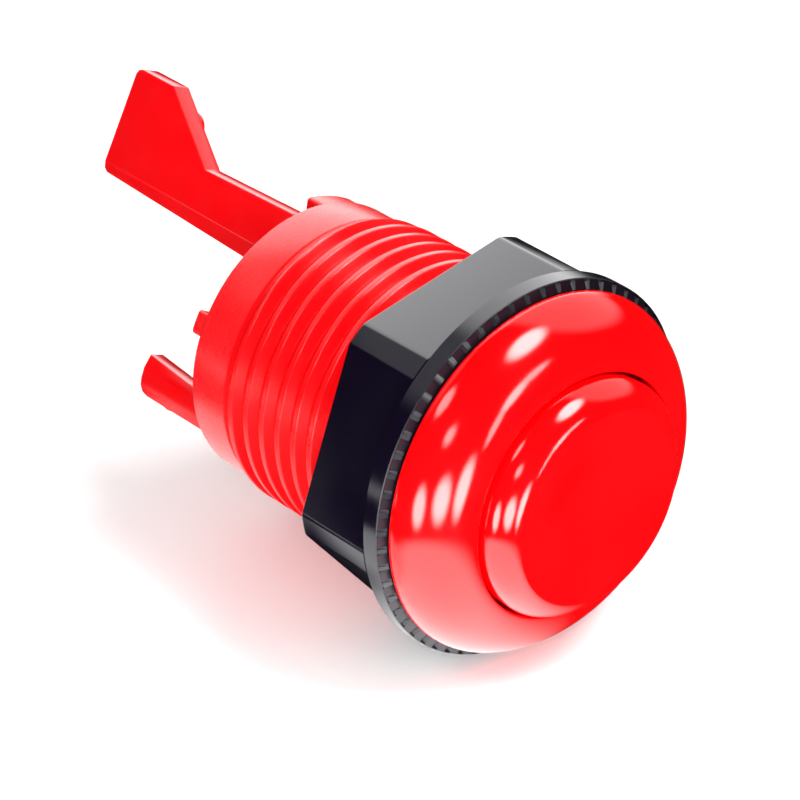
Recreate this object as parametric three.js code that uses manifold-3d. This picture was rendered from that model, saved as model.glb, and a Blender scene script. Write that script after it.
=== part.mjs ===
// Panel push button for quiz and game tables: a red moulded housing with a domed bezel, a threaded
// barrel and two switch arms, a concave plunger on a coil spring, and a black serrated flange nut.
// Millimetres. The button's axis lies along Y: the bezel faces -Y and the barrel runs towards +Y.
// The origin is on the axis, in the plane of the bezel's back face, which seats on the panel.

import * as THREE from 'three';
import { mergeVertices } from 'three/addons/utils/BufferGeometryUtils.js';
import Module from 'manifold-3d';

const wasm = await Module();
wasm.setup();

// ---- Driving dimensions ----------------------------------------------------------------------

const GAP = 0.3; // clearance between neighbouring pieces
const LATHE_STEPS = 48; // facets around the turned shapes

const BEZEL_RADIUS = 16.65;
const BEZEL_EDGE = 0.35; // straight rim below the dome
const BEZEL_HEIGHT = 5.2; // seat to the lip around the plunger
const BEZEL_FULLNESS = 1.6; // exponent of the dome's curve: 2 would be an ellipse
const LIP_RADIUS = 11.4;

const BORE_RADIUS = 11.3; // where the plunger slides
const RECESS_RADIUS = 11.5; // behind the inner floor
const BARREL_END = 29.95;
const COLLAR_RADIUS = 13.2;
const COLLAR_START = 25.6;
const THREAD_CREST = 13.75;
const THREAD_ROOT = 13.0;
const THREAD_PITCH = 2.1;
const THREAD_FIRST_CREST = 2.2;
const THREAD_TURNS = 11;

const FLOOR_FRONT = 16.0; // inner floor that carries the spring
const FLOOR_THICKNESS = 2.0;
const STEM_HOLE_RADIUS = 3.0;
const SPRING_BOSS_RADIUS = 4.1;
const SPRING_BOSS_HEIGHT = 1.5;

const NUT_RADIUS = 17.5; // flange, and the circle that trims the hexagon's corners
const NUT_ACROSS_FLATS = 31.3;
const NUT_LENGTH = 10.0;
const NUT_FLANGE = 2.0;
const NUT_BORE = 14.05;
const NUT_TURN = 9.6; // degrees from +X to a corner of the hexagon

const PLUNGER_RADIUS = 11.0;
const PLUNGER_SHOULDER = 5.65; // where the side wall starts to round over
const PLUNGER_CREST = 7.9; // highest ring of the cap
const PLUNGER_CREST_RADIUS = 8.9;
const PLUNGER_FULLNESS = 1.4; // exponent of the shoulder's curve
const DISH_DEPTH = 2.0;
const CAP_THICKNESS = 1.8;
const SKIRT_WALL = 1.4;
const SKIRT_END = 7.5;
const STEM_RADIUS = 2.6;
const STEM_END = 32.4;

const LEG_WIDTH = 3.0;
const LEG_INNER = 6.2;
const LEG_OUTER = 7.6;
const LEG_HOOK_REACH = 9.0;
const LEG_HOOK_LENGTH = 2.4;
const LEG_SLOT_CLEARANCE = 0.4;

const SPRING_MEAN_RADIUS = 5.0;
const SPRING_WIRE_RADIUS = 0.35;
const SPRING_TURNS = 8;

const ARM_ROLL = 23.6; // degrees that the switch arms are turned about the axis, from upright
const ARM_FACE = 6.5; // axis to the arms' outer face
const ARM_THICKNESS = 2.0;
const ARM_CHAMFER = 1.2; // width of the sloped band along each arm's inner edge
const ARM_CHAMFER_DEPTH = 0.4;
const LONG_ARM_END = 54.8;
const SHORT_ARM_END = 42.1;
const PEG_RADIUS = 1.45; // fits the 3 mm holes of a snap-action switch
const PEG_LENGTH = 1.6;
const LONG_PEG = { across: 13.2, along: 48.35 };
const SHORT_PEG = { across: -9.6, along: 39.25 }; // 24.5 mm from the other, as a switch's holes are

const TAB_END = 32.2; // the upper and lower tabs
const SIDE_TAB_END = 31.3;
const TAB_ROOT = 28.0;
const TAB_RADIUS = 13.0;

// ---- Colours and finishes --------------------------------------------------------------------

const RED_GLOSS = { color: 0xe3060a, roughness: 0.18, metalness: 0 };
const BLACK_GLOSS = { color: 0x17131b, roughness: 0.25, metalness: 0 };
const STEEL = { color: 0xb9bcc0, roughness: 0.3, metalness: 1 };

// ---- Solids ----------------------------------------------------------------------------------

// A closed manifold solid from a three.js geometry, with its faces turned outward.
function solidOf(geometry) {
  const bare = geometry.clone();
  bare.deleteAttribute('normal');
  bare.deleteAttribute('uv');
  const merged = mergeVertices(bare, 1e-4);
  const points = merged.getAttribute('position').array;
  const corners = [];
  const index = merged.index.array;
  for (let i = 0; i < index.length; i += 3) {
    const [a, b, c] = index.slice(i, i + 3);
    if (a !== b && b !== c && c !== a) corners.push(a, b, c);
  }
  if (signedVolume(points, corners) < 0) corners.reverse();
  return new wasm.Manifold(new wasm.Mesh({
    numProp: 3,
    vertProperties: new Float32Array(points),
    triVerts: new Uint32Array(corners),
  }));
}

function signedVolume(points, corners) {
  const at = (i) => new THREE.Vector3().fromArray(points, 3 * i);
  let sum = 0;
  for (let i = 0; i < corners.length; i += 3) {
    const [a, b, c] = [at(corners[i]), at(corners[i + 1]), at(corners[i + 2])];
    sum += a.dot(b.cross(c)) / 6;
  }
  return sum;
}

function geometryOf(solid) {
  const mesh = solid.getMesh();
  const geometry = new THREE.BufferGeometry();
  geometry.setAttribute('position', new THREE.BufferAttribute(mesh.vertProperties, 3));
  geometry.setIndex(new THREE.BufferAttribute(mesh.triVerts, 1));
  geometry.computeVertexNormals();
  return geometry;
}

// Turns a closed outline of [radius, y] points about the Y axis.
function turned(outline, steps = LATHE_STEPS) {
  const points = [...outline, outline[0]].map(([radius, y]) => new THREE.Vector2(radius, y));
  return solidOf(new THREE.LatheGeometry(points, steps));
}

// Extrudes an outline of [x, y] points along Z from low to high.
function prism(outline, low, high) {
  const shape = new THREE.Shape(outline.map(([x, y]) => new THREE.Vector2(x, y)));
  const geometry = new THREE.ExtrudeGeometry(shape, { depth: high - low, bevelEnabled: false });
  geometry.translate(0, 0, low);
  return solidOf(geometry);
}

function block(low, high) {
  const size = high.map((value, i) => value - low[i]);
  const geometry = new THREE.BoxGeometry(...size);
  geometry.translate(...high.map((value, i) => (value + low[i]) / 2));
  return solidOf(geometry);
}

// The arms' frame is the row's frame rolled about Y: x is the arms' normal, z runs across them.
function rolled(solid) {
  return solid.rotate([0, ARM_ROLL, 0]);
}

// ---- Housing ---------------------------------------------------------------------------------

function bezelCurve(steps) {
  const rise = BEZEL_HEIGHT - BEZEL_EDGE;
  return Array.from({ length: steps + 1 }, (_, i) => {
    const angle = (i / steps) * Math.PI / 2;
    const out = Math.cos(angle) ** (2 / BEZEL_FULLNESS);
    const up = Math.sin(angle) ** (2 / BEZEL_FULLNESS);
    return [LIP_RADIUS + (BEZEL_RADIUS - LIP_RADIUS) * out, -(BEZEL_EDGE + rise * up)];
  });
}

// Ridges stand for the thread's turns: the crest is narrower than the groove.
function threadRidges() {
  const outline = [];
  for (let turn = 0; turn < THREAD_TURNS; turn += 1) {
    const crest = THREAD_FIRST_CREST + turn * THREAD_PITCH;
    outline.push(
      [THREAD_ROOT, crest - THREAD_PITCH * 0.36],
      [THREAD_CREST, crest - THREAD_PITCH * 0.14],
      [THREAD_CREST, crest + THREAD_PITCH * 0.14],
      [THREAD_ROOT, crest + THREAD_PITCH * 0.36],
    );
  }
  return outline;
}

function shell() {
  const floorBack = FLOOR_FRONT + FLOOR_THICKNESS;
  return turned([
    [BORE_RADIUS, -BEZEL_HEIGHT],
    [BORE_RADIUS, FLOOR_FRONT],
    [SPRING_BOSS_RADIUS, FLOOR_FRONT],
    [SPRING_BOSS_RADIUS, FLOOR_FRONT - SPRING_BOSS_HEIGHT],
    [STEM_HOLE_RADIUS, FLOOR_FRONT - SPRING_BOSS_HEIGHT],
    [STEM_HOLE_RADIUS, floorBack],
    [RECESS_RADIUS, floorBack],
    [RECESS_RADIUS, BARREL_END],
    [COLLAR_RADIUS, BARREL_END],
    [COLLAR_RADIUS, COLLAR_START],
    ...threadRidges().reverse(),
    [THREAD_ROOT, 0],
    [BEZEL_RADIUS, 0],
    ...bezelCurve(8),
  ]);
}

// Plates stand on edge in the arms' frame, with x from the outer face inward.
// The outline is listed as [along Y, across Z]; extruding along Z and turning sends it to X.
function plate(outline, outer, inner) {
  const flat = prism(outline.map(([along, across]) => [across, along]), outer, inner);
  return flat.transform([0, 0, 1, 0, 0, 1, 0, 0, 1, 0, 0, 0, 0, 0, 0, 1]);
}

// A wedge that slopes the band along an arm's inner edge: its section is a thin triangle in X and Z.
function chamferCut(edge, side) {
  const inward = edge + side * ARM_CHAMFER;
  const beyond = edge - side * 2 * ARM_CHAMFER;
  const deep = -ARM_FACE + 3 * ARM_CHAMFER_DEPTH;
  const shape = [[-ARM_FACE - 0.01, inward], [deep, beyond], [-ARM_FACE - 3, beyond]];
  const geometry = new THREE.ExtrudeGeometry(
    new THREE.Shape(shape.map(([x, z]) => new THREE.Vector2(x, -z))),
    { depth: LONG_ARM_END, bevelEnabled: false },
  );
  geometry.rotateX(-Math.PI / 2);
  geometry.translate(0, BARREL_END + 1, 0);
  return solidOf(geometry);
}

function peg({ across, along }) {
  const geometry = new THREE.CylinderGeometry(PEG_RADIUS, PEG_RADIUS, PEG_LENGTH + 0.5, 20);
  geometry.rotateZ(Math.PI / 2);
  const inner = -ARM_FACE + ARM_THICKNESS;
  geometry.translate(inner + PEG_LENGTH / 2 - 0.25, along, across);
  return solidOf(geometry);
}

function longArm() {
  const root = FLOOR_FRONT + 1;
  const body = plate([
    [root, 5.5], [BARREL_END, 5.5], [LONG_ARM_END - 0.4, 6.35], [LONG_ARM_END, 6.8],
    [LONG_ARM_END - 0.7, 16.0], [LONG_ARM_END - 0.9, 16.5], [LONG_ARM_END - 1.4, 16.75],
    [48.95, 16.75], [41.95, 11.25], [BARREL_END, 11.6], [BARREL_END - 1, 10.2], [root, 10.2],
  ], -ARM_FACE, -ARM_FACE + ARM_THICKNESS);
  return body.subtract(chamferCut(6.2, 1)).add(peg(LONG_PEG));
}

function shortArm() {
  const root = FLOOR_FRONT + 1;
  const body = plate([
    [root, -10.25], [SHORT_ARM_END - 1.5, -10.3], [SHORT_ARM_END - 0.5, -10.0],
    [SHORT_ARM_END - 0.1, -9.3], [SHORT_ARM_END, -6.7], [36.2, -7.2], [BARREL_END, -7.5],
    [root, -7.5],
  ], -ARM_FACE, -ARM_FACE + ARM_THICKNESS);
  return body.subtract(chamferCut(-6.8, -1)).add(peg(SHORT_PEG));
}

// Short teeth on the barrel's rear edge, each given by the angles of its two sides.
function tab(start, end, top) {
  const ring = turned([
    [RECESS_RADIUS, TAB_ROOT], [TAB_RADIUS, TAB_ROOT], [TAB_RADIUS, top], [RECESS_RADIUS, top],
  ]);
  const reach = 2 * TAB_RADIUS;
  const ray = (degrees) => {
    const angle = THREE.MathUtils.degToRad(degrees);
    return [-reach * Math.cos(angle), reach * Math.sin(angle)];
  };
  const sector = prism([[0, 0], ray(start), ray((start + end) / 2), ray(end)], 0, top + 1);
  return ring.intersect(sector.rotate([-90, 0, 0]).rotate([0, 180, 0]));
}

function legSlots() {
  const half = LEG_WIDTH / 2 + LEG_SLOT_CLEARANCE;
  const from = LEG_INNER - LEG_SLOT_CLEARANCE;
  const to = LEG_OUTER + LEG_SLOT_CLEARANCE;
  const low = FLOOR_FRONT - 1;
  const high = FLOOR_FRONT + FLOOR_THICKNESS + 1;
  return block([-half, low, from], [half, high, to]).add(block([-half, low, -to], [half, high, -from]));
}

function housing() {
  const body = shell().subtract(rolled(legSlots()));
  const tabs = [
    tab(80, 104, TAB_END), tab(-104, -80, TAB_END), tab(172, 182, SIDE_TAB_END), tab(-8, 2, SIDE_TAB_END),
  ];
  return [longArm(), shortArm(), ...tabs].reduce((sum, piece) => sum.add(rolled(piece)), body);
}

// ---- Nut -------------------------------------------------------------------------------------

function panelNut() {
  const front = GAP;
  const back = front + NUT_LENGTH;
  const flangeBack = front + NUT_FLANGE;
  const corner = NUT_ACROSS_FLATS / 2 / Math.cos(Math.PI / 6);
  const hexagon = Array.from({ length: 6 }, (_, i) => {
    const angle = THREE.MathUtils.degToRad(NUT_TURN) + (i * Math.PI) / 3;
    return [corner * Math.cos(angle), corner * Math.sin(angle)];
  });
  const flats = prism(hexagon, -back, -flangeBack + 0.5).rotate([90, 0, 0]);
  const round = turned([[NUT_BORE, front], [NUT_RADIUS, front], [NUT_RADIUS, back], [NUT_BORE, back]]);
  const flange = turned([
    [NUT_BORE, front], [NUT_RADIUS, front], [NUT_RADIUS, flangeBack], [NUT_BORE, flangeBack],
  ]);
  return flats.intersect(round).add(flange);
}

// ---- Plunger ---------------------------------------------------------------------------------

// The cap rounds over from the side wall to its highest ring and dips to the dish's centre.
function capCurve(steps) {
  const over = Array.from({ length: steps + 1 }, (_, i) => {
    const angle = (i / steps) * Math.PI / 2;
    const out = Math.cos(angle) ** (2 / PLUNGER_FULLNESS);
    const up = Math.sin(angle) ** (2 / PLUNGER_FULLNESS);
    return [
      PLUNGER_CREST_RADIUS + (PLUNGER_RADIUS - PLUNGER_CREST_RADIUS) * out,
      -(PLUNGER_SHOULDER + (PLUNGER_CREST - PLUNGER_SHOULDER) * up),
    ];
  });
  const dish = Array.from({ length: steps }, (_, i) => {
    const share = 1 - (i + 1) / steps;
    const rise = 0.5 - 0.5 * Math.cos(Math.PI * share);
    return [PLUNGER_CREST_RADIUS * share, -(PLUNGER_CREST - DISH_DEPTH * (1 - rise))];
  });
  return [...over, ...dish];
}

function snapLeg(side) {
  const hookTop = FLOOR_FRONT + FLOOR_THICKNESS + GAP;
  const end = hookTop + LEG_HOOK_LENGTH;
  const capInside = -PLUNGER_CREST + DISH_DEPTH + CAP_THICKNESS;
  const outline = [
    [capInside - 0.5, LEG_INNER], [end, LEG_INNER], [end, LEG_OUTER - 0.3],
    [hookTop + 0.6, LEG_HOOK_REACH], [hookTop, LEG_HOOK_REACH], [hookTop, LEG_OUTER],
    [capInside - 0.5, LEG_OUTER],
  ];
  const sided = outline.map(([along, across]) => [along, side * across]);
  return plate(sided, -LEG_WIDTH / 2, LEG_WIDTH / 2);
}

function plunger() {
  const capInside = -PLUNGER_CREST + DISH_DEPTH + CAP_THICKNESS;
  const inner = PLUNGER_RADIUS - SKIRT_WALL;
  const cap = turned([
    ...capCurve(8),
    [0, STEM_END],
    [STEM_RADIUS - 0.5, STEM_END],
    [STEM_RADIUS, STEM_END - 0.5],
    [STEM_RADIUS, capInside],
    [inner, capInside],
    [inner, SKIRT_END],
    [PLUNGER_RADIUS, SKIRT_END],
  ]);
  return [snapLeg(1), snapLeg(-1)].reduce((sum, leg) => sum.add(rolled(leg)), cap);
}

// ---- Return spring ---------------------------------------------------------------------------

class Helix extends THREE.Curve {
  constructor(radius, from, to, turns) {
    super();
    Object.assign(this, { radius, from, to, turns });
  }

  getPoint(t, target = new THREE.Vector3()) {
    const angle = 2 * Math.PI * this.turns * t;
    const y = this.from + (this.to - this.from) * t;
    return target.set(this.radius * Math.cos(angle), y, this.radius * Math.sin(angle));
  }
}

function returnSpring() {
  const inset = SPRING_WIRE_RADIUS + GAP;
  const from = -PLUNGER_CREST + DISH_DEPTH + CAP_THICKNESS + inset;
  const to = FLOOR_FRONT - inset;
  const sides = 6;
  const section = new THREE.Shape(Array.from({ length: sides }, (_, i) => {
    const angle = (2 * Math.PI * i) / sides;
    return new THREE.Vector2(Math.cos(angle), Math.sin(angle)).multiplyScalar(SPRING_WIRE_RADIUS);
  }));
  const path = new Helix(SPRING_MEAN_RADIUS, from, to, SPRING_TURNS);
  return solidOf(new THREE.ExtrudeGeometry(section, { steps: 14 * SPRING_TURNS, extrudePath: path }));
}

// ---- Assembly --------------------------------------------------------------------------------

function part(name, solid, finish) {
  const mesh = new THREE.Mesh(geometryOf(solid), new THREE.MeshStandardMaterial(finish));
  mesh.name = name;
  return mesh;
}

const group = new THREE.Group();
group.add(
  part('housing', housing(), RED_GLOSS),
  part('panel_nut', panelNut(), BLACK_GLOSS),
  part('plunger', plunger(), RED_GLOSS),
  part('return_spring', returnSpring(), STEEL),
);

export default group;
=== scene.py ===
"""Looks of the panel push button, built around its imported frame. Meshes are made in millimetres, in the
row frame: the button's axis lies along Y, the bezel faces -Y and the origin is in the bezel's back face."""

import math

import bmesh
import bpy
from mathutils import Matrix, Vector


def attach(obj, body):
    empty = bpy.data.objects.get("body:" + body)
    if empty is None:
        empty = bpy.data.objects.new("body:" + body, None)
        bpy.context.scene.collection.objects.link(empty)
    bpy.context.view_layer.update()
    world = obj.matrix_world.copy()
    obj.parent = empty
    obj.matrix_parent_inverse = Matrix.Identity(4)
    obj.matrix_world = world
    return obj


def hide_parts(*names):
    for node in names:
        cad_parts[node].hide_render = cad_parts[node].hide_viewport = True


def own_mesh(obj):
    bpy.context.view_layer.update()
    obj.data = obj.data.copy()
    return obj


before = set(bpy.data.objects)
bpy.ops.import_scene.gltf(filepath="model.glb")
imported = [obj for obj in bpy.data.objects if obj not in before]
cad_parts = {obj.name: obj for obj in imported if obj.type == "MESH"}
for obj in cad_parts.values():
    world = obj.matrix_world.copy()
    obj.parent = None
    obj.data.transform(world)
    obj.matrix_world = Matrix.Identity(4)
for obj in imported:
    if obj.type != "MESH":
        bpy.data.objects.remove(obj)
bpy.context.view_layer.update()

MM = 0.001  # metres in a millimetre

# What each piece rides on, the node it stands for and that node's material slot.
HOUSING = ("housing_body", "housing", "red_plastic")
NUT = ("nut_body", "panel_nut", "black_plastic")
PLUNGER = ("plunger_body", "plunger", "red_plastic")
SPRING = ("housing_body", "return_spring", "spring_steel")

# ---- Driving dimensions, in millimetres ------------------------------------------------------

GAP = 0.3  # clearance between neighbouring pieces
COLUMNS = 192  # facets around the turned shapes
FINE_COLUMNS = 96  # facets around the small ones
BEZEL_STEPS = 56  # steps along the dome
CAP_STEPS = 28  # steps over the plunger's shoulder
ON_PLANE = 0.01  # slack when a face or a point is matched to a plane

BEZEL_RADIUS = 16.65
BEZEL_EDGE = 0.35  # straight rim below the dome
BEZEL_HEIGHT = 5.2  # seat to the lip around the plunger
BEZEL_FULLNESS = 1.6  # exponent of the dome's curve: 2 would be an ellipse
LIP_RADIUS = 11.4  # inner edge of the dome, beside the plunger
LIP_ROUND = 0.12  # rounding of the bezel's lip and of its foot
BORE_RADIUS = 11.3  # where the plunger slides
RECESS_RADIUS = 11.5  # behind the inner floor
BARREL_END = 29.95
BARREL_ROUND = 0.25  # rounding of the barrel's rear edges
COLLAR_RADIUS = 13.2
COLLAR_START = 25.6
THREAD_CREST = 13.75
THREAD_ROOT = 13.0
THREAD_PITCH = 2.1
THREAD_FADE = 1.3  # length over which the thread runs out at each end
THREAD_MARK = (121.4, 18.1)  # degrees from +X, and the height of a crest there
THREAD_TOP = 0.09  # half the width of a crest, as a share of the pitch
THREAD_FOOT = 0.48  # where a flank ends, as a share of the pitch
THREAD_EASE = 0.14  # share of a flank's width that rounds over at each end
THREAD_ROUND_STEPS = 3  # in each of those
THREAD_LINES = (0.4, 0.65)  # further lines down a flank, as shares of its width
CREST_BAND = 0.1  # depth of the polished crests
THREAD_FIRST_TURN, THREAD_LAST_TURN = -10, 6  # turns each side of the marked crest
FLOOR_FRONT = 16.0  # inner floor that carries the spring
FLOOR_THICKNESS = 2.0
FLOOR_RIM = 11.4  # between the bore's radius and the recess's
SLOT_OVERCUT = 1  # how far a cutter stands out of the floor
STEM_HOLE_RADIUS = 3.0
SPRING_BOSS_RADIUS = 4.1
SPRING_BOSS_HEIGHT = 1.5

NUT_RADIUS = 17.5  # flange, and the circle that trims the hexagon's corners
NUT_ACROSS_FLATS = 31.3
NUT_LENGTH = 10.0
NUT_FLANGE = 2.0
NUT_BORE = 14.05
NUT_TURN = 9.6  # degrees from +X to a corner of the hexagon
NUT_TRIM = 0.02  # from the flange's rim to the trimmed corners
NUT_CORNER_BLEND = 0.12  # rounding between the flats and the trimmed corners
NUT_CORNER_STEP = 0.25  # degrees between the columns there
NUT_CORNER_STEPS = 24  # columns on each side of a corner
NUT_FLANGE_CHAMFER = 0.15
NUT_OUTER_ROUND = 0.2  # the hexagon's rear edge
NUT_BORE_ROUND = 0.4  # the bore's rear edge
NUT_TEETH = 60
NUT_CONE = 0.25  # how far the serrated face falls back at the rim
NUT_SATIN_END = 1.0  # the serrated front up to here is less glossy
NUT_SERRATED = 0.95  # width of the serrated ring
NUT_LIP_START, NUT_LIP_END = 0.22, 0.08  # the thin lip outside the notches, in from the rim
NUT_NOTCH_DEPTH = 0.42  # at the lip, running out inward
NUT_NOTCH_SHARE = 0.42  # width of a notch at the lip, as a share of a tooth's pitch

PLUNGER_RADIUS = 11.0
PLUNGER_SHOULDER = 5.65  # where the side wall starts to round over
PLUNGER_CREST = 7.9  # highest ring of the cap
PLUNGER_CREST_RADIUS = 8.9
PLUNGER_FULLNESS = 1.4  # exponent of the shoulder's curve
DISH_DEPTH = 2.0
CAP_THICKNESS = 1.8
SKIRT_WALL = 1.4
SKIRT_END = 7.5
SKIRT_CHAMFER = 0.3
FILLET = 0.4  # inside the cap
STEM_RADIUS = 2.6
STEM_END = 32.4
STEM_CHAMFER = 0.5
LEG_WIDTH = 3.0
LEG_INNER = 6.2
LEG_OUTER = 7.6
LEG_TIP = 7.3
LEG_HOOK_REACH = 9.0
LEG_HOOK_LENGTH = 2.4
LEG_HOOK_FLAT = 0.6
LEG_EDGE = 0.15
LEG_SUNK = 0.5  # length of a leg inside the cap
LEG_SLOT_CLEARANCE = 0.4

SPRING_RADIUS = 5.0  # axis to the middle of the wire
WIRE_RADIUS = 0.35
WIRE_FACETS = 12
SPRING_TURNS = 8
SPRING_STEPS = 40  # rings along a turn
SPRING_CLOSED = 1  # turns lying flat at each end

ARM_ROLL = math.radians(23.6)  # the switch arms' turn about the button's axis, from upright
ARM_FACE = 6.5  # axis to the arms' outer face
ARM_THICKNESS = 2.0
ARM_ROOT = 17.0  # in the inner floor
LONG_ARM_END = 54.8
SHORT_ARM_END = 42.1
ARM_SLOPE = 1 / 3  # fall of the sloped band along each arm's inner edge
LONG_CREASE, SHORT_CREASE = 7.4, -8.0  # where the bands start
PEG_RADIUS = 1.45
PEG_LENGTH = 1.6
PEG_SUNK = 0.4  # length of a peg inside its arm
PEG_ROUND = 0.25
PEG_FACETS = 40
ARM_EDGE = 0.12  # rounding of the arms' edges
TAB_EDGE = 0.4
LONG_PEG = (13.2, 48.35)  # across the arm and along the axis
SHORT_PEG = (-9.6, 39.25)
TAB_RADIUS = 13.0
TAB_ROOT = 28.0
TAB_END = 32.2  # the upper and lower tabs
SIDE_TAB_END = 31.3
TAB_STEPS = 6  # columns around each tab


# ---- Mesh helpers ----------------------------------------------------------------------------

def turn_point(radius, y, angle):
    """A point around the button's axis, with the angle measured from +X towards +Z."""
    return Vector((radius * math.cos(angle), y, radius * math.sin(angle)))


def arm_point(normal, y, across):
    """A point of the arms' own frame, whose first axis is the arms' normal, in the row frame."""
    c, s = math.cos(ARM_ROLL), math.sin(ARM_ROLL)
    return Vector((c * normal + s * across, y, -s * normal + c * across))


def arc(centre, radius, start, end, steps):
    """Points of (radius from the axis, y) along a rounded edge, with angles in degrees."""
    points = []
    for i in range(steps + 1):
        angle = math.radians(start + (end - start) * i / steps)
        points.append((centre[0] + radius * math.cos(angle), centre[1] + radius * math.sin(angle)))
    return points


def superellipse(fullness, steps):
    """A quarter from (1, 0) to (0, 1) as (out, up) points."""
    points = []
    for i in range(steps + 1):
        angle = math.pi / 2 * i / steps
        out = math.cos(angle) ** (2 / fullness) if i < steps else 0.0
        points.append((out, math.sin(angle) ** (2 / fullness)))
    return points


def skin(rings, ends=False):
    """A surface through rings with the same number of points; ends closes the first and the last."""
    bm = bmesh.new()
    rings = [[bm.verts.new(point) for point in ring] for ring in rings]
    for low, high in zip(rings, rings[1:]):
        for i in range(len(low)):
            j = (i + 1) % len(low)
            bm.faces.new((low[i], low[j], high[j], high[i]))
    if ends:
        bm.faces.new(rings[0])
        bm.faces.new(list(reversed(rings[-1])))
    return bm


def revolved(angles, profile_at):
    """A closed surface: each angle has a closed profile of (radius, y) with the same number of points."""
    return skin([[turn_point(r, y, a) for r, y in profile_at(a)] for a in angles])


def around(count):
    """Angles of a full turn, with the first one repeated at the end."""
    return [2 * math.pi * i / count for i in range(count + 1)]


def extruded(outline, place, low, high):
    """A plate with a flat outline of (y, across) points; place(depth, y, across) puts each point."""
    bm = bmesh.new()
    near = [bm.verts.new(place(low, *point)) for point in outline]
    far = [bm.verts.new(place(high, *point)) for point in outline]
    bm.faces.new(near)
    bm.faces.new(list(reversed(far)))
    for i in range(len(outline)):
        j = (i + 1) % len(outline)
        bm.faces.new((near[j], near[i], far[i], far[j]))
    return bm


def cleaned(bm):
    """Joins points that meet and turns every face outwards."""
    bmesh.ops.remove_doubles(bm, verts=bm.verts, dist=1e-4)
    bmesh.ops.dissolve_degenerate(bm, dist=1e-4, edges=bm.edges)
    bmesh.ops.recalc_face_normals(bm, faces=bm.faces)
    return bm


def bevelled(bm, width, segments=3, limit=25):
    """Rounds the edges that bend by more than limit degrees."""
    cleaned(bm)
    sharp = [
        e for e in bm.edges
        if len(e.link_faces) == 2 and e.calc_face_angle() > math.radians(limit)
    ]
    bmesh.ops.bevel(
        bm, geom=sharp, offset=width, segments=segments, profile=0.5, affect="EDGES", clamp_overlap=True
    )
    return bm


def joined(*meshes):
    """One bmesh out of several, each of which is used up."""
    whole = bmesh.new()
    for bm in meshes:
        part = bpy.data.meshes.new("part")
        cleaned(bm).to_mesh(part)
        whole.from_mesh(part)
        bpy.data.meshes.remove(part)
        bm.free()
    return whole


def in_metres(bm):
    bmesh.ops.scale(bm, vec=(MM,) * 3, verts=bm.verts)
    return bm


def placed(name, bm):
    """An object in the scene made of a bmesh in metres, which is used up."""
    mesh = bpy.data.meshes.new(name)
    bm.to_mesh(mesh)
    bm.free()
    obj = bpy.data.objects.new(name, mesh)
    bpy.context.scene.collection.objects.link(obj)
    return obj


def piece(name, bm, materials, body, node, slot, smooth=30, pick=None):
    """Turns a bmesh in millimetres into a piece that rides on a body and stands for a node."""
    if pick:
        for face in bm.faces:
            face.material_index = pick(face.calc_center_median())
    obj = placed(name, in_metres(bm))
    for material in materials:
        obj.data.materials.append(material)
    obj.data.shade_smooth()
    obj.data.set_sharp_from_angle(angle=math.radians(smooth))
    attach(obj, body)
    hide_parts(node)
    return obj


# ---- Materials -------------------------------------------------------------------------------

NOISE_LOW, NOISE_HIGH = 0.3, 0.7  # nearly all of a noise's values lie between these
CLOUD_DETAIL, GLOSS_DETAIL, GRAIN_DETAIL = 3, 4, 5  # octaves of each noise
GRAIN_ROUGHNESS = 0.6  # strength of the grain's finer octaves
GLOSS_PATCH = 6  # how many grains wide the gloss's patches are
DULL_BELOW, POLISHED_ABOVE = -0.003, 0.007  # heights in metres, for the thread's two sides


def link(tree, source, target):
    tree.links.new(source, target)


def noise(tree, size, detail, roughness=0.5):
    """A noise whose features are about size metres across, in the piece's own coordinates."""
    where = tree.nodes.new("ShaderNodeTexCoord")
    node = tree.nodes.new("ShaderNodeTexNoise")
    node.inputs["Scale"].default_value = 1 / size
    node.inputs["Detail"].default_value = detail
    node.inputs["Roughness"].default_value = roughness
    link(tree, where.outputs["Object"], node.inputs["Vector"])
    return node.outputs["Fac"]


def ramp(tree, source, low, high):
    """Maps a noise to the range from low to high."""
    node = tree.nodes.new("ShaderNodeMapRange")
    node.inputs["From Min"].default_value = NOISE_LOW
    node.inputs["From Max"].default_value = NOISE_HIGH
    node.inputs["To Min"].default_value = low
    node.inputs["To Max"].default_value = high
    link(tree, source, node.inputs["Value"])
    return node.outputs["Result"]


def mixed(tree, source, low, high):
    """Blends two colours by a noise."""
    node = tree.nodes.new("ShaderNodeMix")
    node.data_type = "RGBA"
    node.inputs[6].default_value = (*low, 1)
    node.inputs[7].default_value = (*high, 1)
    link(tree, source, node.inputs["Factor"])
    return node.outputs[2]


def duller_below(tree, rough, extra):
    """Adds to a roughness below the button's axis, where the mould's surface is duller."""
    where = tree.nodes.new("ShaderNodeTexCoord")
    split = tree.nodes.new("ShaderNodeSeparateXYZ")
    link(tree, where.outputs["Object"], split.inputs[0])
    height = tree.nodes.new("ShaderNodeMapRange")
    height.interpolation_type = "SMOOTHSTEP"
    height.inputs["From Min"].default_value = DULL_BELOW
    height.inputs["From Max"].default_value = POLISHED_ABOVE
    height.inputs["To Min"].default_value = extra
    height.inputs["To Max"].default_value = 0.0
    link(tree, split.outputs["Z"], height.inputs["Value"])
    total = tree.nodes.new("ShaderNodeMath")
    link(tree, rough, total.inputs[0])
    link(tree, height.outputs["Result"], total.inputs[1])
    return total.outputs["Value"]


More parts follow.
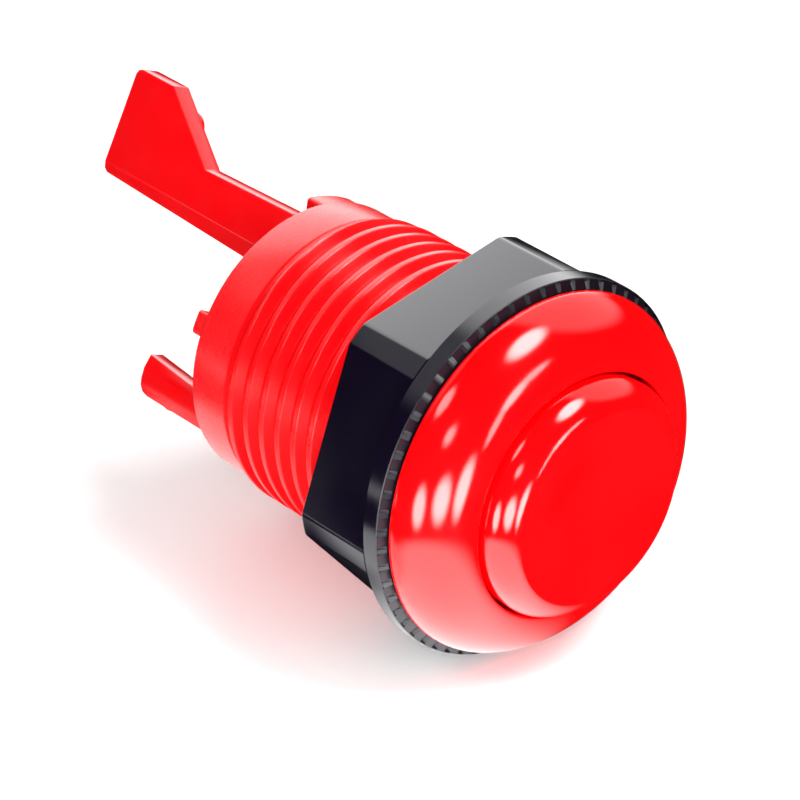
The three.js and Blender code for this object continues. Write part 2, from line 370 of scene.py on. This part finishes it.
def moulded(name, colours, cloud, gloss, grain, relief, metallic=0.0, duller=0.0, specular=0.5):
    """Moulded plastic or drawn metal: slow colour clouds, uneven gloss and a fine surface grain."""
    material = bpy.data.materials.new(name)
    material.use_nodes = True
    tree = material.node_tree
    shader = tree.nodes["Principled BSDF"]
    shader.inputs["Metallic"].default_value = metallic
    shader.inputs["Specular IOR Level"].default_value = specular
    link(tree, mixed(tree, noise(tree, cloud, CLOUD_DETAIL), *colours), shader.inputs["Base Color"])
    rough = ramp(tree, noise(tree, grain * GLOSS_PATCH, GLOSS_DETAIL), *gloss)
    link(tree, duller_below(tree, rough, duller) if duller else rough, shader.inputs["Roughness"])
    bump = tree.nodes.new("ShaderNodeBump")
    bump.inputs["Strength"].default_value = 1.0
    bump.inputs["Distance"].default_value = relief
    link(tree, noise(tree, grain, GRAIN_DETAIL, GRAIN_ROUGHNESS), bump.inputs["Height"])
    link(tree, bump.outputs["Normal"], shader.inputs["Normal"])
    return material


RED_GLOSS = moulded(
    "red_gloss", ((0.78, 0.0003, 0.0010), (0.84, 0.0006, 0.0022)), cloud=0.008, gloss=(0.07, 0.11),
    grain=0.0012, relief=0.000002,
)
RED_SATIN = moulded(
    "red_satin", ((0.77, 0.0004, 0.002), (0.83, 0.0008, 0.004)), cloud=0.005, gloss=(0.11, 0.18),
    grain=0.0004, relief=0.000003,
)
RED_MATTE = moulded(
    "red_matte", ((0.76, 0.0006, 0.003), (0.83, 0.002, 0.006)), cloud=0.004, gloss=(0.25, 0.30),
    grain=0.00022, relief=0.000002,
)
RED_CREST = moulded(
    "red_crest", ((0.77, 0.0004, 0.002), (0.83, 0.0010, 0.004)), cloud=0.004, gloss=(0.18, 0.24),
    grain=0.00022, relief=0.000003, duller=0.16,
)
RED_FLANK = moulded(
    "red_flank", ((0.75, 0.0004, 0.002), (0.82, 0.0010, 0.004)), cloud=0.004, gloss=(0.22, 0.28),
    grain=0.00022, relief=0.000003, duller=0.16, specular=0.07,
)
BLACK_GLOSS = moulded(
    "black_gloss", ((0.0022, 0.0010, 0.0058), (0.0040, 0.0022, 0.0085)), cloud=0.006, gloss=(0.10, 0.16),
    grain=0.0010, relief=0.000003,
)
BLACK_SATIN = moulded(
    "black_satin", ((0.0022, 0.0010, 0.0050), (0.0045, 0.0026, 0.0085)), cloud=0.003, gloss=(0.36, 0.46),
    grain=0.0004, relief=0.000003,
)
STEEL = moulded(
    "drawn_steel", ((0.55, 0.56, 0.58), (0.68, 0.68, 0.70)), cloud=0.003, gloss=(0.22, 0.34),
    grain=0.0003, relief=0.000002, metallic=1.0,
)


# ---- Housing ---------------------------------------------------------------------------------

def bezel_curve(steps):
    """From the rim's foot to the lip, along the dome."""
    rise = BEZEL_HEIGHT - BEZEL_EDGE
    return [
        (LIP_RADIUS + (BEZEL_RADIUS - LIP_RADIUS) * out, -(BEZEL_EDGE + rise * up))
        for out, up in superellipse(BEZEL_FULLNESS, steps)
    ]


def thread_steps():
    """Shares of a pitch at which the thread is drawn, closer together where it rounds over."""
    flank = THREAD_FOOT - THREAD_TOP
    corner = THREAD_EASE * flank
    rounding = [corner * i / THREAD_ROUND_STEPS for i in range(THREAD_ROUND_STEPS + 1)]
    side = [
        THREAD_TOP / 2, *[THREAD_TOP + past for past in rounding],
        *[THREAD_TOP + line * flank for line in THREAD_LINES],
        *[THREAD_FOOT - short for short in reversed(rounding)],
    ]
    return [*[-share for share in reversed(side)], 0.0, *side, 0.5]


def ridge(share):
    """Height of the thread from 0 to 1 at a share of a pitch from its crest: a rounded V groove."""
    t = min(1.0, max(0.0, (THREAD_FOOT - abs(share)) / (THREAD_FOOT - THREAD_TOP)))
    ease = THREAD_EASE
    if t < ease:
        return t * t / (2 * ease * (1 - ease))
    if t > 1 - ease:
        return 1 - (1 - t) ** 2 / (2 * ease * (1 - ease))
    return (t - ease / 2) / (1 - ease)


def thread_rows(angle):
    """Points up the barrel from its foot to the collar, on lines that follow the helix."""
    mark_angle, mark = THREAD_MARK
    crest = mark - THREAD_PITCH * (angle - math.radians(mark_angle)) / (2 * math.pi)
    rows = []
    for turn in range(THREAD_FIRST_TURN, THREAD_LAST_TURN + 1):
        for share in thread_steps():
            y = min(COLLAR_START, max(0.0, crest + (turn + share) * THREAD_PITCH))
            fade = min(1.0, y / THREAD_FADE, (COLLAR_START - y) / THREAD_FADE)
            base = THREAD_ROOT
            if y > COLLAR_START - THREAD_FADE:
                base += (COLLAR_RADIUS - THREAD_ROOT) * (1 - (COLLAR_START - y) / THREAD_FADE)
            turns = (y - crest) / THREAD_PITCH
            rows.append((base + (THREAD_CREST - base) * ridge(turns - round(turns)) * fade, y))
    return [(THREAD_ROOT, 0.0), *rows, (COLLAR_RADIUS, COLLAR_START)]


def housing_profile(angle):
    """Section of the bezel and the barrel: over the dome, back through the bore and up the thread."""
    edge, lip = BARREL_ROUND, LIP_ROUND
    return [
        *bezel_curve(BEZEL_STEPS)[:-1],
        *arc((BORE_RADIUS + lip, -BEZEL_HEIGHT + lip), lip, 270, 180, 4),
        (BORE_RADIUS, FLOOR_FRONT + FLOOR_THICKNESS / 2),
        (RECESS_RADIUS, FLOOR_FRONT + FLOOR_THICKNESS / 2),
        *arc((RECESS_RADIUS + edge, BARREL_END - edge), edge, 180, 90, 4),
        *arc((COLLAR_RADIUS - edge, BARREL_END - edge), edge, 90, 0, 4),
        *reversed(thread_rows(angle)),
        *arc((BEZEL_RADIUS - lip, -lip), lip, 90, 0, 3),
    ]


def housing_finish(centre):
    """The place in the material list: the bezel and bore, the crests, the flanks, or the collar."""
    radius = math.hypot(centre.x, centre.z)
    if centre.y < ON_PLANE or radius < FLOOR_RIM:
        return 0
    if centre.y > COLLAR_START:
        return 3
    return 1 if radius > THREAD_CREST - CREST_BAND else 2


def inner_floor():
    """The disc that carries the spring, with a guide for the stem and slots for the snap legs."""
    back = FLOOR_FRONT + FLOOR_THICKNESS
    ring = cleaned(revolved(around(FINE_COLUMNS), lambda angle: [
        (STEM_HOLE_RADIUS, back), (STEM_HOLE_RADIUS, FLOOR_FRONT - SPRING_BOSS_HEIGHT),
        (SPRING_BOSS_RADIUS, FLOOR_FRONT - SPRING_BOSS_HEIGHT), (SPRING_BOSS_RADIUS, FLOOR_FRONT),
        (FLOOR_RIM, FLOOR_FRONT), (FLOOR_RIM, back),
    ]))
    disc = piece("inner_floor", ring, [RED_SATIN], *HOUSING)
    half = LEG_WIDTH / 2 + LEG_SLOT_CLEARANCE
    near, far = LEG_INNER - LEG_SLOT_CLEARANCE, LEG_OUTER + LEG_SLOT_CLEARANCE
    low, high = FLOOR_FRONT - SLOT_OVERCUT, back + SLOT_OVERCUT
    cutters = []
    for side in (1, -1):
        outline = [(low, side * near), (high, side * near), (high, side * far), (low, side * far)]
        cutters.append(cleaned(extruded(outline, arm_point, -half, half)))
    cutter = placed("slots", in_metres(joined(*cutters)))
    cut = disc.modifiers.new("slots", "BOOLEAN")
    cut.operation, cut.solver, cut.object = "DIFFERENCE", "EXACT", cutter
    graph = bpy.context.evaluated_depsgraph_get()
    disc.data = bpy.data.meshes.new_from_object(disc.evaluated_get(graph))
    disc.modifiers.clear()
    bpy.data.objects.remove(cutter)


def arm(name, outline, crease, side, peg_place):
    """A flat switch arm with a sloped band along its inner edge and a peg for the switch."""
    flat = extruded(outline, arm_point, -ARM_FACE, -ARM_FACE + ARM_THICKNESS)
    cleaned(flat)
    level = arm_point(0, 0, 1)
    bmesh.ops.bisect_plane(
        flat, geom=[*flat.verts, *flat.edges, *flat.faces], plane_co=level * crease, plane_no=level
    )
    normal = arm_point(1, 0, 0)
    for vert in flat.verts:
        outside = vert.co.dot(normal) < -ARM_FACE + ON_PLANE
        beyond = side * (crease - vert.co.dot(level))
        if outside and beyond > 0:
            vert.co += normal * beyond * ARM_SLOPE
    bevelled(flat, ARM_EDGE, segments=3, limit=12)
    across, along = peg_place
    inner = -ARM_FACE + ARM_THICKNESS
    peg = bmesh.new()
    bmesh.ops.create_cone(
        peg, cap_ends=True, segments=PEG_FACETS, radius1=PEG_RADIUS, radius2=PEG_RADIUS,
        depth=PEG_LENGTH + PEG_SUNK, matrix=Matrix.Rotation(math.radians(90), 4, "Y"),
    )
    middle = inner + (PEG_LENGTH - PEG_SUNK) / 2
    for vert in peg.verts:
        vert.co = arm_point(middle + vert.co.x, along + vert.co.y, across + vert.co.z)
    bevelled(peg, PEG_ROUND, segments=4, limit=60)
    piece(name, joined(flat, peg), [RED_SATIN], *HOUSING, smooth=40)


def tab(name, start, end, top):
    """A short tooth on the barrel's rear edge, between two angles of the arms' frame."""
    inner, outer = RECESS_RADIUS, TAB_RADIUS
    section = [(inner, TAB_ROOT), (outer, TAB_ROOT), (outer, top), (inner, top)]
    roll = math.degrees(ARM_ROLL)
    columns = []
    for i in range(TAB_STEPS + 1):
        angle = math.radians(start - roll + (end - start) * i / TAB_STEPS)
        columns.append([turn_point(r, y, angle) for r, y in section])
    bm = bevelled(skin(columns, ends=True), TAB_EDGE, segments=4, limit=40)
    piece(name, bm, [RED_MATTE], *HOUSING, smooth=40)


piece(
    "bezel_and_barrel", cleaned(revolved(around(COLUMNS), housing_profile)),
    [RED_GLOSS, RED_CREST, RED_FLANK, RED_MATTE], *HOUSING, smooth=35, pick=housing_finish,
)
inner_floor()
# The arms' outlines are (y, across) points that follow the photo.
arm(
    "long_arm",
    [(ARM_ROOT, 5.5), (BARREL_END, 5.5), (54.45, 6.35), (LONG_ARM_END, 6.7), (54.1, 16.1), (53.9, 16.55),
     (53.4, 16.75), (48.95, 16.75), (41.95, 11.25), (BARREL_END, 11.6), (28.95, 10.2), (ARM_ROOT, 10.2)],
    LONG_CREASE, 1, LONG_PEG,
)
arm(
    "short_arm",
    [(ARM_ROOT, -10.25), (40.6, -10.3), (41.4, -10.1), (41.85, -9.6), (42.0, -9.0), (SHORT_ARM_END, -6.7),
     (36.2, -7.2), (BARREL_END, -7.5), (ARM_ROOT, -7.5)],
    SHORT_CREASE, -1, SHORT_PEG,
)
for tab_name, tab_start, tab_end, tab_top in (
    ("upper_tab", 80, 104, TAB_END), ("lower_tab", -104, -80, TAB_END),
    ("left_tab", 172, 182, SIDE_TAB_END), ("right_tab", -8, 2, SIDE_TAB_END),
):
    tab(tab_name, tab_start, tab_end, tab_top)


# ---- Nut -------------------------------------------------------------------------------------

def smooth_least(a, b, width):
    """The lesser of a and b, rounded over where they are within width of each other."""
    share = min(1.0, max(0.0, 0.5 + 0.5 * (b - a) / width))
    return b + (a - b) * share - width * share * (1 - share)


def hexagon_radius(angle):
    """The hexagon's outline, with its corners trimmed just inside the flange."""
    turn = (math.degrees(angle) - NUT_TURN) % 60 - 30
    flat = NUT_ACROSS_FLATS / 2 / math.cos(math.radians(turn))
    trim = NUT_RADIUS - NUT_TRIM
    return min(smooth_least(flat, trim, NUT_CORNER_BLEND), trim)


def nut_profile(angle):
    """Section of the nut: the serrated front, the flange, and the hexagon down to the bore."""
    rim = NUT_RADIUS
    front = GAP + NUT_CONE
    step = GAP + NUT_FLANGE
    back = GAP + NUT_LENGTH
    share = abs((math.degrees(angle) * NUT_TEETH / 360) % 1 - 0.5)
    notch = NUT_NOTCH_DEPTH * max(0.0, 1 - 2 * share / NUT_NOTCH_SHARE)
    hexagon = hexagon_radius(angle)
    outer, inner = NUT_OUTER_ROUND, NUT_BORE_ROUND
    return [
        (NUT_BORE, GAP), (rim - NUT_SERRATED, GAP), (rim - NUT_LIP_START, front + notch),
        (rim - NUT_LIP_END, front), (rim, front + NUT_LIP_END),
        (rim, step - NUT_FLANGE_CHAMFER), (rim - NUT_FLANGE_CHAMFER, step), (hexagon, step),
        (hexagon, back - outer),
        *arc((hexagon - outer, back - outer), outer, 0, 90, 4)[1:],
        *arc((NUT_BORE + inner, back - inner), inner, 90, 180, 4),
    ]


def nut_finish(centre):
    """The place in the material list: the glossy hexagon or the satin serrations."""
    return 1 if centre.y < NUT_SATIN_END else 0


def nut_angles():
    """Columns at each tooth's crest and root, and closer together round the hexagon's corners."""
    degrees = set()
    pitch = 360 / NUT_TEETH
    for tooth in range(NUT_TEETH):
        for share in (0, 0.15, 0.5 - NUT_NOTCH_SHARE / 2, 0.5, 0.5 + NUT_NOTCH_SHARE / 2, 0.85):
            degrees.add(round((tooth + share) * pitch, 6))
    for corner in range(6):
        for step in range(-NUT_CORNER_STEPS, NUT_CORNER_STEPS + 1):
            degrees.add(round((NUT_TURN + 60 * corner + step * NUT_CORNER_STEP) % 360, 6))
    ordered = sorted(degrees)
    return [math.radians(d) for d in [*ordered, 360.0]]


piece(
    "panel_nut_visible", cleaned(revolved(nut_angles(), nut_profile)),
    [BLACK_GLOSS, BLACK_SATIN], *NUT, smooth=28, pick=nut_finish,
)


# ---- Plunger ---------------------------------------------------------------------------------

def cap_curve(steps):
    """Rounds over from the side wall to the highest ring, then dips to the dish's centre."""
    over = []
    for out, up in superellipse(PLUNGER_FULLNESS, steps):
        over.append((PLUNGER_CREST_RADIUS + (PLUNGER_RADIUS - PLUNGER_CREST_RADIUS) * out,
                     -(PLUNGER_SHOULDER + (PLUNGER_CREST - PLUNGER_SHOULDER) * up)))
    dish = []
    for i in range(1, 2 * steps + 1):
        share = 1 - i / (2 * steps)
        rise = 0.5 - 0.5 * math.cos(math.pi * share)
        dish.append((PLUNGER_CREST_RADIUS * share, -(PLUNGER_CREST - DISH_DEPTH * (1 - rise))))
    return [*over, *dish]


def plunger_profile(angle):
    """Section of the cap with its stem and skirt, which is the same all the way round."""
    inside = -PLUNGER_CREST + DISH_DEPTH + CAP_THICKNESS
    inner = PLUNGER_RADIUS - SKIRT_WALL
    return [
        *cap_curve(CAP_STEPS),
        (0, STEM_END), (STEM_RADIUS - STEM_CHAMFER, STEM_END), (STEM_RADIUS, STEM_END - STEM_CHAMFER),
        (STEM_RADIUS, inside + FILLET), (STEM_RADIUS + FILLET, inside),
        (inner - FILLET, inside), (inner, inside + FILLET), (inner, SKIRT_END),
        (PLUNGER_RADIUS - SKIRT_CHAMFER, SKIRT_END), (PLUNGER_RADIUS, SKIRT_END - SKIRT_CHAMFER),
    ]


def snap_leg(side):
    """A leg whose hook passes the inner floor and holds the plunger in."""
    hook = FLOOR_FRONT + FLOOR_THICKNESS + GAP
    end = hook + LEG_HOOK_LENGTH
    root = -PLUNGER_CREST + DISH_DEPTH + CAP_THICKNESS - LEG_SUNK
    outline = [
        (root, LEG_INNER), (end, LEG_INNER), (end, LEG_TIP), (hook + LEG_HOOK_FLAT, LEG_HOOK_REACH),
        (hook, LEG_HOOK_REACH), (hook, LEG_OUTER), (root, LEG_OUTER),
    ]
    sided = [(y, side * across) for y, across in outline]
    return bevelled(extruded(sided, arm_point, -LEG_WIDTH / 2, LEG_WIDTH / 2), LEG_EDGE, segments=2)


piece("plunger_cap", joined(revolved(around(COLUMNS), plunger_profile)), [RED_GLOSS], *PLUNGER, smooth=35)
for leg_name, leg_side in (("snap_leg_upper", 1), ("snap_leg_lower", -1)):
    piece(leg_name, snap_leg(leg_side), [RED_SATIN], *PLUNGER, smooth=40)


# ---- Return spring ---------------------------------------------------------------------------

def spring():
    """A round-wire coil with its end turns closed up, drawn as rings along its centreline."""
    inset = WIRE_RADIUS + GAP
    front = -PLUNGER_CREST + DISH_DEPTH + CAP_THICKNESS + inset
    back = FLOOR_FRONT - inset
    steps = SPRING_TURNS * SPRING_STEPS
    closed = SPRING_CLOSED
    flat = 2 * WIRE_RADIUS * closed
    open_turns = SPRING_TURNS - 2 * closed
    centres = []
    for i in range(steps + 1):
        turn = SPRING_TURNS * i / steps
        if turn < closed:
            y = front + flat * turn / closed
        elif turn > SPRING_TURNS - closed:
            y = back - flat * (SPRING_TURNS - turn) / closed
        else:
            y = front + flat + (back - front - 2 * flat) * (turn - closed) / open_turns
        centres.append(turn_point(SPRING_RADIUS, y, 2 * math.pi * turn))
    rings = []
    for i, centre in enumerate(centres):
        ahead = (centres[min(i + 1, steps)] - centres[max(i - 1, 0)]).normalized()
        outward = Vector((centre.x, 0, centre.z)).normalized()
        upward = ahead.cross(outward).normalized()
        rings.append([
            centre + WIRE_RADIUS * (outward * math.cos(angle) + upward * math.sin(angle))
            for angle in around(WIRE_FACETS)[:-1]
        ])
    coil = piece("coil_spring", cleaned(skin(rings, ends=True)), [STEEL], *SPRING)
    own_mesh(coil)


spring()


# ---- Floor, camera and lights ----------------------------------------------------------------

FLOOR_HEIGHT = -NUT_RADIUS * MM
FLOOR_SIZE = 0.6  # radius of the table's round top

CAMERA_AIM = Vector((-0.002095, 0.014861, 0.001222))
CAMERA_DISTANCE = 0.34793
CAMERA_AZIMUTH = -41.71
CAMERA_ELEVATION = 31.26
CAMERA_LENS = 180
CAMERA_SENSOR = 36

LIGHT_CENTRE = Vector((0, -0.003, 0))  # the cards face the bezel
FAR = 0.6  # the cards' distances from there
NEAR = 0.066
WORLD_FILL = 0.74  # the white world on matt surfaces
WORLD_GLOSS = 0.012  # in reflections
WORLD_SEEN = 1.0  # behind the object
GLOW_HEIGHT = FLOOR_HEIGHT + 0.0001
TABLE_SPOTS = (  # the lit table as the gloss shows it: centre, width, length and radiance
    ((-0.025, -0.011, GLOW_HEIGHT), 0.060, 0.056, 4.2),
    ((-0.034, 0.014, GLOW_HEIGHT), 0.030, 0.040, 2.2),
    ((-0.014, 0.040, GLOW_HEIGHT), 0.040, 0.036, 1.4),
)


def direction(azimuth, elevation):
    """Unit vector towards a place seen from the object: azimuth 0 is in front of the bezel."""
    a, e = math.radians(azimuth), math.radians(elevation)
    return Vector((math.sin(a) * math.cos(e), -math.cos(a) * math.cos(e), math.sin(e)))


def staged(name, bm, material):
    """An object that isn't part of the button."""
    obj = placed(name, bm)
    obj.data.materials.append(material)
    return obj


def soft_disc(tree, edge):
    """1 in the middle of a plane that spans -1 to 1, falling smoothly to 0 at its inscribed ellipse."""
    where = tree.nodes.new("ShaderNodeTexCoord")
    length = tree.nodes.new("ShaderNodeVectorMath")
    length.operation = "LENGTH"
    link(tree, where.outputs["Object"], length.inputs[0])
    fall = tree.nodes.new("ShaderNodeMapRange")
    fall.interpolation_type = "SMOOTHSTEP"
    fall.inputs["From Min"].default_value = 1 - edge
    fall.inputs["From Max"].default_value = 1.0
    fall.inputs["To Min"].default_value = 1.0
    fall.inputs["To Max"].default_value = 0.0
    link(tree, length.outputs["Value"], fall.inputs["Value"])
    return fall.outputs["Result"]


def panel(name, centre, facing, width, height, radiance, roll=0.0, edge=0.5, diffuse=True):
    """A soft oval light panel, clear around its edge, which only the object and the table see."""
    material = bpy.data.materials.new(name)
    material.use_nodes = True
    tree = material.node_tree
    tree.nodes.remove(tree.nodes["Principled BSDF"])
    clear = tree.nodes.new("ShaderNodeBsdfTransparent")
    glow = tree.nodes.new("ShaderNodeEmission")
    glow.inputs["Strength"].default_value = radiance
    mix = tree.nodes.new("ShaderNodeMixShader")
    link(tree, soft_disc(tree, edge), mix.inputs["Fac"])
    link(tree, clear.outputs["BSDF"], mix.inputs[1])
    link(tree, glow.outputs["Emission"], mix.inputs[2])
    link(tree, mix.outputs["Shader"], tree.nodes["Material Output"].inputs["Surface"])
    bm = bmesh.new()
    bmesh.ops.create_grid(bm, x_segments=1, y_segments=1, size=1)
    obj = staged(name, bm, material)
    obj.location = centre
    obj.rotation_mode = "QUATERNION"
    spin = Matrix.Rotation(math.radians(roll), 3, "Z").to_quaternion()
    obj.rotation_quaternion = facing.to_track_quat("-Z", "Y") @ spin
    obj.scale = (width / 2, height / 2, 1)
    obj.visible_camera = False
    obj.visible_shadow = False
    obj.visible_diffuse = diffuse
    return obj


def card(name, azimuth, elevation, width, height, radiance, distance=FAR, **look):
    """A panel that faces the object: its place and its size are in degrees seen from there."""
    back = direction(azimuth, elevation)
    across, up = (2 * distance * math.tan(math.radians(size / 2)) for size in (width, height))
    panel(name, LIGHT_CENTRE + distance * back, -back, across, up, radiance, **look)


def table_material():
    material = bpy.data.materials.new("pale_table")
    material.use_nodes = True
    tree = material.node_tree
    plain = tree.nodes["Principled BSDF"]
    plain.inputs["Roughness"].default_value = 0.9
    plain.inputs["Specular IOR Level"].default_value = 0.1
    cloud = noise(tree, 0.05, CLOUD_DETAIL)
    link(tree, mixed(tree, cloud, (0.91,) * 3, (0.94,) * 3), plain.inputs["Base Color"])
    return material


def floor():
    bm = bmesh.new()
    bmesh.ops.create_circle(bm, cap_ends=True, segments=FINE_COLUMNS, radius=FLOOR_SIZE)
    obj = staged("floor", bm, table_material())
    obj.location = (0, 0, FLOOR_HEIGHT)
    obj.visible_glossy = False  # the gloss shows the panels alone


def camera():
    data = bpy.data.cameras.new("camera")
    data.lens, data.sensor_width = CAMERA_LENS, CAMERA_SENSOR
    data.clip_start, data.clip_end = 0.01, 10
    obj = bpy.data.objects.new("camera", data)
    back = direction(CAMERA_AZIMUTH, CAMERA_ELEVATION)
    obj.location = CAMERA_AIM + CAMERA_DISTANCE * back
    obj.rotation_mode = "QUATERNION"
    obj.rotation_quaternion = (-back).to_track_quat("-Z", "Y")
    bpy.context.scene.collection.objects.link(obj)
    bpy.context.scene.camera = obj


def surroundings():
    """White behind the object and soft fill on matt surfaces, with a dark room in the reflections."""
    world = bpy.data.worlds.new("studio")
    bpy.context.scene.world = world
    world.use_nodes = True
    tree = world.node_tree
    rays = tree.nodes.new("ShaderNodeLightPath")

    def background(strength):
        node = tree.nodes.new("ShaderNodeBackground")
        node.inputs["Color"].default_value = (1, 1, 1, 1)
        node.inputs["Strength"].default_value = strength
        return node.outputs["Background"]

    sky = background(WORLD_FILL)
    for ray, strength in (("Is Glossy Ray", WORLD_GLOSS), ("Is Camera Ray", WORLD_SEEN)):
        mix = tree.nodes.new("ShaderNodeMixShader")
        link(tree, rays.outputs[ray], mix.inputs["Fac"])
        link(tree, sky, mix.inputs[1])
        link(tree, background(strength), mix.inputs[2])
        sky = mix.outputs["Shader"]
    link(tree, sky, tree.nodes["World Output"].inputs["Surface"])


floor()
camera()
surroundings()

# Azimuth, elevation, width and height in degrees, then the radiance.
card("key", 31, 60, 33, 26, 20)
card("front_low", -3, 12, 9, 22, 9, roll=-20)
card("front_mid", 6, 23, 12, 22, 14, roll=-52)
card("front_high", 18, 28, 21, 9, 10, roll=8)
card("left", -93, 50, 26, 22, 8)
card("small_left", -49, 28, 15, 15, 10, edge=0.7)
card("side_a", -71, -4, 18, 28, 16, NEAR, edge=0.6)
card("side_b", -48, -3, 22, 30, 18, NEAR, edge=0.6)
card("side_c", -27, -3, 19, 35, 18, NEAR, roll=-8, edge=0.6)
card("rear_low", -132, -10, 40, 9, 2, edge=0.8)
card("rear_left", -150, 45, 50, 44, 0.8, edge=0.6)
card("right", 102, 42, 84, 66, 1.5, edge=0.3, diffuse=False)
card("back", 147, 30, 84, 76, 3.6, diffuse=False)

for spot, (centre, width, length, radiance) in enumerate(TABLE_SPOTS):
    glow = panel(f"table_{spot}", Vector(centre), Vector((0, 0, 1)), width, length, radiance, diffuse=False)
    glow.active_material.cycles.emission_sampling = "NONE"

bpy.context.scene.view_settings.view_transform = "Standard"
